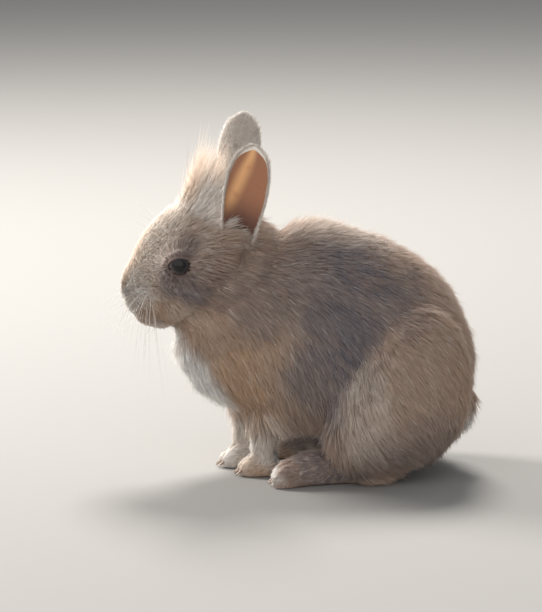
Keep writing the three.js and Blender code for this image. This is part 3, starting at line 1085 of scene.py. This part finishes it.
class RABBIT_OT_whiskers(bpy.types.Operator):
    """Grow the whiskers from both pads, and the long hairs over the eyes and at the chin"""

    bl_idname = "rabbit.whiskers"
    bl_label = "Whiskers"

    def execute(self, context):
        whisker = settings("whisker")
        hide = Hide()
        tree = BVHTree.FromPolygons(hide.points.tolist(), hide.triangles.tolist())
        finish = Finish("whisker", Base_Color=(0.86, 0.84, 0.80), Roughness=0.35)
        steps = np.linspace(0, 1, 11)[:, None]
        for name, side, seed in (("whiskers_left", 1, 21), ("whiskers_right", -1, 22)):
            rng = np.random.default_rng(seed)
            lines = []
            for root, way, length in whisker_plan(whisker.length, rng):
                spot = np.array(tree.find_nearest(np.array(root) * (1, side, 1) * MM)[0])
                way = unit((np.array(way) + rng.normal(0, 0.08, 3)) * (1, side, 1))
                sag = np.array((-0.25, 0, -1.0)) * rng.uniform(0.1, 0.28)
                lines.append(spot - way * MM + way * length * steps + sag * length * steps**2)
            thickness = whisker.thickness * rng.uniform(0.8, 1.1, len(lines))
            piece = object_of(mesh_of(name, *tapered_tubes(np.array(lines), thickness)))
            choose(piece)
            bpy.ops.object.shade_smooth()
            piece.data.materials.append(finish.material)
            settle(piece, "pale_coat")
        return {"FINISHED"}


# ---- Coat


class Hide:
    """The finished skin as arrays, to grow hair from."""

    def __init__(self):
        mesh = bpy.data.objects["skin"].data
        self.points, self.triangles = points_of(mesh), triangles_of(mesh)
        sharp = normals_of(self.points, self.triangles)
        soft = Neighbours(mesh).averaged(sharp, 4)
        self.normals = unit(0.5 * sharp + soft)
        self.crease = ramp(np.linalg.norm(soft, axis=1), 0.93, 0.8)
        self.lie, self.depth, self.bare, self.ear = (stored(mesh, n) for n in ("lie", "depth", "bare", "ear"))
        self.part = np.array(PARTS)[stored(mesh, "part").round().astype(int)]


class Plot:
    """A share of the skin's triangles, and places picked on it."""

    def __init__(self, hide, chosen, weight, count, rng):
        """chosen marks points of the skin, and weight says how closely the tufts stand at each."""
        self.hide = hide
        kept = chosen[hide.triangles].sum(1) >= 2
        self.corners = hide.triangles[kept]
        a, b, c = (hide.points[self.corners[:, k]] for k in range(3))
        share = np.linalg.norm(np.cross(b - a, c - a), axis=1) * weight[self.corners].mean(1)
        total = np.cumsum(share)
        wanted = (np.arange(count) + rng.random(count)) / count * total[-1]
        self.picks = np.minimum(np.searchsorted(total, wanted), len(total) - 1)
        root, other = np.sqrt(rng.random(count)), rng.random(count)
        self.shares = np.stack([1 - root, root * (1 - other), root * other], 1)

    def at(self, values):
        """What these values of the skin's points are at the picked places."""
        corners = values[self.corners[self.picks]]
        shares = self.shares if values.ndim == 1 else self.shares[..., None]
        return (corners * shares).sum(1)

    def unwrap(self):
        """The picked places on a flat unwrap of this share of the skin."""
        used, corners = np.unique(self.corners, return_inverse=True)
        mesh = mesh_of("unwrap", self.hide.points[used], corners.reshape(-1, 3))
        piece = object_of(mesh)
        lay_flat(piece, 0.004)
        flat = read(mesh.uv_layers.active.data, "uv", 2)
        bpy.data.objects.remove(piece)
        bpy.data.meshes.remove(mesh)
        return (flat.reshape(-1, 3, 2)[self.picks] * self.shares[..., None]).sum(1)


# A tuft's points are its root, the three corners of its widest place, and its tip.
TUFT_FACES = np.array(((0, 2, 1), (1, 2, 4), (0, 3, 2), (2, 3, 4), (0, 1, 3), (3, 1, 4)))
TUFT_ALONG = (0, 0.4, 0.4, 0.4, 1)
TUFT_TURNS = np.radians((90, 210, 330))
# Where those points lie on the OFBake map, round the place of the root.
TUFT_PATCH = np.array(((0, -1), (-1, 0), (0, 0), (1, 0), (0, 1))) * 0.0015

BEND_AT = 0.4  # of the length
TURN_SPREAD = 7  # degrees
STRAY_SHARE, STRAY_LIFT = 0.05, 24
PALE_SHARE, PALE_TONE = 0.04, 0.8
CLUMP, CLUMP_SIZE = 0.5, 9


class Tufts:
    """Many tufts of hair, each a closed three-sided spindle that bends at its widest place."""

    def __init__(self, plot, length, width, rng, lift, wild):
        """length and width are in metres for each tuft, and wild is how far the hair strays to the sides.

        lift is the tuft's angle from the skin in degrees, below and above its bend.
        """
        count = len(length)
        hide = plot.hide
        root, normal, way = plot.at(hide.points), unit(plot.at(hide.normals)), plot.at(hide.lie)
        way = unit(way - (way * normal).sum(1)[:, None] * normal)
        side = np.cross(normal, way)
        way = unit(way + side * (rng.normal(0, 1, count) * wild)[:, None])
        side = np.cross(normal, way)
        stray = STRAY_LIFT * (rng.random(count) < STRAY_SHARE)
        low, high = (np.radians(angle + stray + rng.normal(0, TURN_SPREAD, count))[:, None] for angle in lift)
        length = length[:, None]
        bend = root + BEND_AT * length * (np.cos(low) * way + np.sin(low) * normal)
        tip = bend + (1 - BEND_AT) * length * (np.cos(high) * way + np.sin(high) * normal)
        # Tufts lean towards the nearest of those that stand at the middle of a clump.
        centres = np.arange(0, count, CLUMP_SIZE)
        rng.shuffle(centres)
        tree = KDTree(len(centres))
        for k, centre in enumerate(centres):
            tree.insert(root[centre], k)
        tree.balance()
        nearest = centres[[tree.find(spot)[1] for spot in root]]
        apart = root - root[nearest]
        distance = np.linalg.norm(apart, axis=1, keepdims=True)
        near = np.exp(-((distance / (0.35 * length + 1e-6)) ** 2)) * CLUMP
        bend += near * 0.5 * (bend[nearest] + 0.75 * apart - bend)
        tip += near * (tip[nearest] + 0.25 * apart - tip)
        self.root, self.bend, self.tip = root, bend, tip
        self.side, self.normal, self.width = side, normal, width
        self.tone = 0.55 * rng.normal(0, 0.5, count) + 0.45 * rng.normal(0, 0.7, count)[nearest]
        self.tone += PALE_TONE * (rng.random(count) < PALE_SHARE)

    def mesh(self, name, unwrapped, softness):
        """softness is how far the shading follows the skin under the hair, from 0 to 1."""
        count, corners = len(self.root), len(TUFT_ALONG)
        axis = unit(self.tip - self.root)
        flat = unit(np.cross(axis, self.side))
        turn = TUFT_TURNS[:, None]
        ring = np.cos(turn) * self.side[:, None] + 0.6 * np.sin(turn) * flat[:, None]
        middle = self.bend[:, None] + ring * (self.width / 2)[:, None, None]
        root = self.root - self.normal * 0.0005
        points = np.concatenate([root[:, None], middle, self.tip[:, None]], 1).reshape(-1, 3)
        points[:, 2] = np.maximum(points[:, 2], 0.0002)
        faces = TUFT_FACES[None] + (np.arange(count) * corners)[:, None, None]
        mesh = mesh_of(name, points, faces.reshape(-1, 3))
        own = np.concatenate([-axis[:, None], unit(ring), axis[:, None]], 1)
        soft = unit(softness * self.normal[:, None] + (1.1 - softness) * own).reshape(-1, 3)
        mesh.polygons.foreach_set("use_smooth", np.ones(len(mesh.polygons), bool))
        store(mesh, "coat_at", np.repeat(self.root, corners, 0))
        store(mesh, "along", np.tile(TUFT_ALONG, count).astype(float))
        store(mesh, "tone", np.repeat(self.tone, corners))
        layer = mesh.uv_layers.new(name="OFBake")
        flat_places = (unwrapped[:, None] + TUFT_PATCH[None]).reshape(-1, 2)
        layer.data.foreach_set("uv", flat_places[faces.ravel()].astype(np.float32).ravel())
        mesh.normals_split_custom_set_from_vertices(soft.astype(np.float32))
        return mesh


def coat_finish():
    """Hair that takes its colour from its place on the rabbit, dark at its root and paler at its tip."""
    finish = Finish("coat", Roughness=0.8, Sheen_Weight=0.12, Sheen_Roughness=0.5, Specular_IOR_Level=0.2)
    along, tone = finish.kept("along", "Fac"), finish.kept("tone", "Fac")
    colour = coat_colour(finish, finish.kept("coat_at"), tone)
    deep = finish.vectors("MULTIPLY", colour, (0.5, 0.43, 0.4))
    colour = finish.mix(deep, colour, (along + tone.ramp(1.6, 2.4)).ramp(-0.3, 0.6))
    colour = finish.mix(colour, (1.0, 0.95, 0.88), along.ramp(0.5, 1.1) * 0.14)
    finish.set(Base_Color=colour)
    return finish.material


# Long hair that stands out of the coat, on the left side: its middle and its spread in millimetres, how many
# millimetres it adds, and how far it stands up, from 0 to 1.
CRESTS = (
    ((51.5, 0, 145), (5, 5, 14), 26, 1.0),
    ((50, 0, 146), (10, 10, 12), 11, 0.9),
    ((12, 6, 130), (8, 14, 8), 7, 0.6),
    ((-4, 4, 132), (10, 18, 8), 2.5, 0.35),
    ((30, 26, 122), (8, 7, 7), 4, 0.4),
    ((42, 22, 126), (5, 5, 7), 7, 0.3),
    ((40, 18, 136), (7, 6, 11), 4.5, 0.45),
    ((84, 9, 93), (9, 9, 9), 1.5, 0.5),
    ((48, 24, 92), (14, 10, 12), 2.5, 0.15),
    ((18, 24, 40), (16, 20, 9), 9, 0),
    ((-8, 30, 32), (18, 16, 12), 10, 0),
    ((52, 0, 44), (12, 14, 12), 4, 0),
)


def growth(hide):
    """At each point of the skin, how closely the coat grows on body and ears, and how near a rim it is."""
    x, y, z = hide.points.T / MM
    ears = is_part(hide.part, "ear")
    inner, across, height = hide.ear.T
    sole = ramp(z, 2.2, 0.8) * ramp(hide.normals[:, 2], -0.3, -0.8)
    growing = (1 - hide.bare).clip(0, 1) ** 2 * (1 - sole)
    rim = ramp(np.hypot(across, np.maximum(height - 0.82, 0) / 0.17), 0.87, 0.96)
    in_ear = (1 - inner * (1 - rim) * ramp(height, 0.05, 0.28)).clip(0, 1) ** 2
    growing *= np.where(ears & (height > 0.25), 1, 1 - hide.crease)
    # Nothing grows where the skin turns in behind the root of an ear.
    out_of_head = unit(np.stack([0 * y, y, z - 95], 1))
    turned_in = ramp((hide.normals * out_of_head).sum(1), 0.4, 0.1)
    ear_root = ~ears & (z > 108) & (np.abs(y) > 12) & (x > 12) & (x < 42)
    growing *= np.where(ear_root, 1 - turned_in, 1)
    return growing, growing * in_ear, rim


def long_hair(hide):
    """At each point of the skin, how many metres longer the crests' hair is, and how far it stands up."""
    x, y, z = hide.points.T / MM
    folded = np.stack([x, np.abs(y), z], 1)
    extra, stand = np.zeros(len(x)), np.zeros(len(x))
    for middle, spread, more, up in CRESTS:
        near = np.exp(-(((folded - middle) / spread) ** 2).sum(1) / 2)
        extra += near * more * MM
        stand = np.maximum(stand, near * up)
    ears = is_part(hide.part, "ear")
    extra[ears] = stand[ears] = 0
    return extra, stand


STANDING = (80, 66)  # the lift of hair that stands up, below and above its bend
FIRST_SEED = 100


class RABBIT_OT_coat(bpy.types.Operator):
    """Grow the coat as tufts along its lie, short on face, ears and feet and deep on neck, back and thighs"""

    bl_idname = "rabbit.coat"
    bl_label = "Coat"

    def execute(self, context):
        hide = Hide()
        finish = coat_finish()
        share = settings("coat").fullness * 1.0
        growing, growing_on_ears, rim = growth(hide)
        extra, stand = long_hair(hide)
        x, y, _ = hide.points.T
        height = hide.ear[:, 2]
        deep = hide.depth / MM
        head, ears = is_part(hide.part, "head", "lid"), is_part(hide.part, "ear")
        neck, trunk = is_part(hide.part, "neck"), is_part(hide.part, "trunk")
        feet = is_part(hide.part, "tail", "foreleg", "forepaw", "hind_foot")
        thigh_left, thigh_right = hide.part == "thigh_left", hide.part == "thigh_right"
        on_head = growing / (deep + 0.5) * (1 + 1.5 * stand)
        back = trunk & (x <= 0)
        long_lift = (50, 13)
        # Name, where it is, how closely it stands there, how many tufts, how wide each is, and how it lifts.
        pieces = (
            ("coat_head", head, on_head, 31000, 0.00034, (44, 20)),
            ("coat_ears", ears, growing_on_ears, 24000, 0.00020, (15, 4)),
            ("coat_neck", neck, growing, 28000, 0.00044, (48, 13)),
            ("coat_front", trunk & (x > 0), growing, 31000, 0.00048, long_lift),
            ("coat_back_left", back & (y >= 0), growing, 29000, 0.00048, long_lift),
            ("coat_back_right", back & (y < 0), growing, 29000, 0.00048, long_lift),
            ("coat_thigh_left", thigh_left, growing, 25000, 0.00048, long_lift),
            ("coat_thigh_right", thigh_right, growing, 25000, 0.00048, long_lift),
            ("coat_feet", feet, growing / (deep + 1.5), 24000, 0.00030, (34, 8)),
        )
        for seed, (name, chosen, weight, count, width, lift) in enumerate(pieces, FIRST_SEED):
            rng = np.random.default_rng(seed)
            plot = Plot(hide, chosen, weight, int(count * share), rng)
            spread = rng.uniform(0.7, 1.15, len(plot.picks))
            up = plot.at(stand)
            on_ear = name == "coat_ears"
            if on_ear:
                shorter = 1 - 0.55 * ramp(plot.at(height), 0.85, 1.0)
                length = (0.0030 + 0.0012 * plot.at(rim)) * spread * shorter
            else:
                length = plot.at(hide.depth) * 1.75 * spread
                length += plot.at(extra) * rng.uniform(0.35, 1.1, len(spread))
            lift = tuple(angle + up * (high - angle) for angle, high in zip(lift, STANDING))
            thick = width * rng.uniform(0.7, 1.25, len(length)) / (share**0.5)
            tufts = Tufts(plot, length, thick, rng, lift, 0.12 + 0.3 * up)
            if on_ear:
                # The ears' rim hair is made pale: partly its own paler hair and partly painted rim light.
                tufts.tone += 2.2 * plot.at(rim)
            mesh = tufts.mesh(name, plot.unwrap(), 0.2 if on_ear else 0.7)
            mesh.materials.append(finish)
            settle(object_of(mesh), "sandy_coat")
        return {"FINISHED"}


# ---- Studio

MIDDLE = Vector((0, 0, 0.08))
FRAMING = -0.0146, 0.0073  # how far the camera moves to its right and up
LENS = 181
LAMP_COLOUR = (1.0, 0.96, 0.91)
LAMPS = (
    # Name, place, size and power
    ("key", (1.35, -0.75, 0.95), 0.6, 46),
    ("back", (-0.05, -1.05, 1.55), 0.7, 44),
    ("fill", (1.15, 3.45, 1.28), 6.9, 85),
)
ROOM_COLOUR = (0.97, 0.97, 1.0, 1)
ROOM_LIGHT = 0.42


class RABBIT_OT_studio(bpy.types.Operator):
    """Set up the pale floor, the soft lights and the camera"""

    bl_idname = "rabbit.studio"
    bl_label = "Studio"

    def execute(self, context):
        studio = settings("studio")
        bpy.ops.object.select_all(action="DESELECT")
        bpy.ops.mesh.primitive_grid_add(x_subdivisions=8, y_subdivisions=8, size=60, location=(0, 0, 0))
        floor = bpy.context.object
        floor.name = floor.data.name = "floor"
        finish = Finish("floor", Base_Color=tuple(studio.floor), Roughness=0.85)
        floor.data.materials.append(finish.material)
        for name, spot, size, power in LAMPS:
            light = bpy.data.lights.new(name, "AREA")
            light.shape, light.size, light.energy, light.color = "DISK", size, power, LAMP_COLOUR
            lamp = bpy.data.objects.new(name, light)
            context.scene.collection.objects.link(lamp)
            lamp.location = spot
            lamp.rotation_euler = (MIDDLE - Vector(spot)).to_track_quat("-Z", "Y").to_euler()
        context.scene.view_settings.view_transform = "Standard"
        world = bpy.data.worlds.new("room")
        context.scene.world = world
        world.use_nodes = True
        background = next(n for n in world.node_tree.nodes if n.type == "BACKGROUND")
        background.inputs["Color"].default_value = ROOM_COLOUR
        background.inputs["Strength"].default_value = ROOM_LIGHT
        turn, rise = math.radians(studio.azimuth), math.radians(studio.elevation)
        back = Vector((math.sin(turn) * math.cos(rise), -math.cos(turn) * math.cos(rise), math.sin(rise)))
        right = Vector((math.cos(turn), math.sin(turn), 0))
        up = back.cross(right)
        camera = bpy.data.objects.new("camera", bpy.data.cameras.new("camera"))
        context.scene.collection.objects.link(camera)
        context.scene.camera = camera
        camera.location = MIDDLE + right * FRAMING[0] + up * FRAMING[1] + back * studio.distance
        camera.rotation_euler = (-back).to_track_quat("-Z", "Y").to_euler()
        camera.data.lens = LENS
        return {"FINISHED"}


# ---- Add-on


class VIEW3D_PT_rabbit(bpy.types.Panel):
    bl_label = "Sitting Rabbit"
    bl_idname = "VIEW3D_PT_rabbit"
    bl_space_type = "VIEW_3D"
    bl_region_type = "UI"
    bl_category = "Rabbit"

    def draw(self, context):
        for name in SETTINGS:
            group = settings(name)
            box = self.layout.box()
            box.label(text=name.capitalize())
            for field in group.bl_rna.properties:
                if field.identifier not in ("rna_type", "name"):
                    box.prop(group, field.identifier)
        for operator in OPERATORS:
            self.layout.operator(operator.bl_idname)


SETTINGS = {
    "skin": SkinSettings,
    "coat": CoatSettings,
    "eye": EyeSettings,
    "whisker": WhiskerSettings,
    "claw": ClawSettings,
    "studio": StudioSettings,
}
OPERATORS = (
    RABBIT_OT_studio, RABBIT_OT_skin, RABBIT_OT_eyes, RABBIT_OT_claws, RABBIT_OT_whiskers, RABBIT_OT_coat,
)
CLASSES = (*SETTINGS.values(), *OPERATORS, VIEW3D_PT_rabbit)


def register():
    for kind in CLASSES:
        bpy.utils.register_class(kind)
    for name, group in SETTINGS.items():
        setattr(bpy.types.Scene, "rabbit_" + name, PointerProperty(type=group))


def unregister():
    for name in SETTINGS:
        delattr(bpy.types.Scene, "rabbit_" + name)
    for kind in reversed(CLASSES):
        bpy.utils.unregister_class(kind)


def main():
    register()
    bpy.ops.rabbit.studio()
    bpy.ops.rabbit.skin()
    bpy.ops.rabbit.eyes()
    bpy.ops.rabbit.claws()
    bpy.ops.rabbit.whiskers()
    bpy.ops.rabbit.coat()


if __name__ == "__main__":
    main()
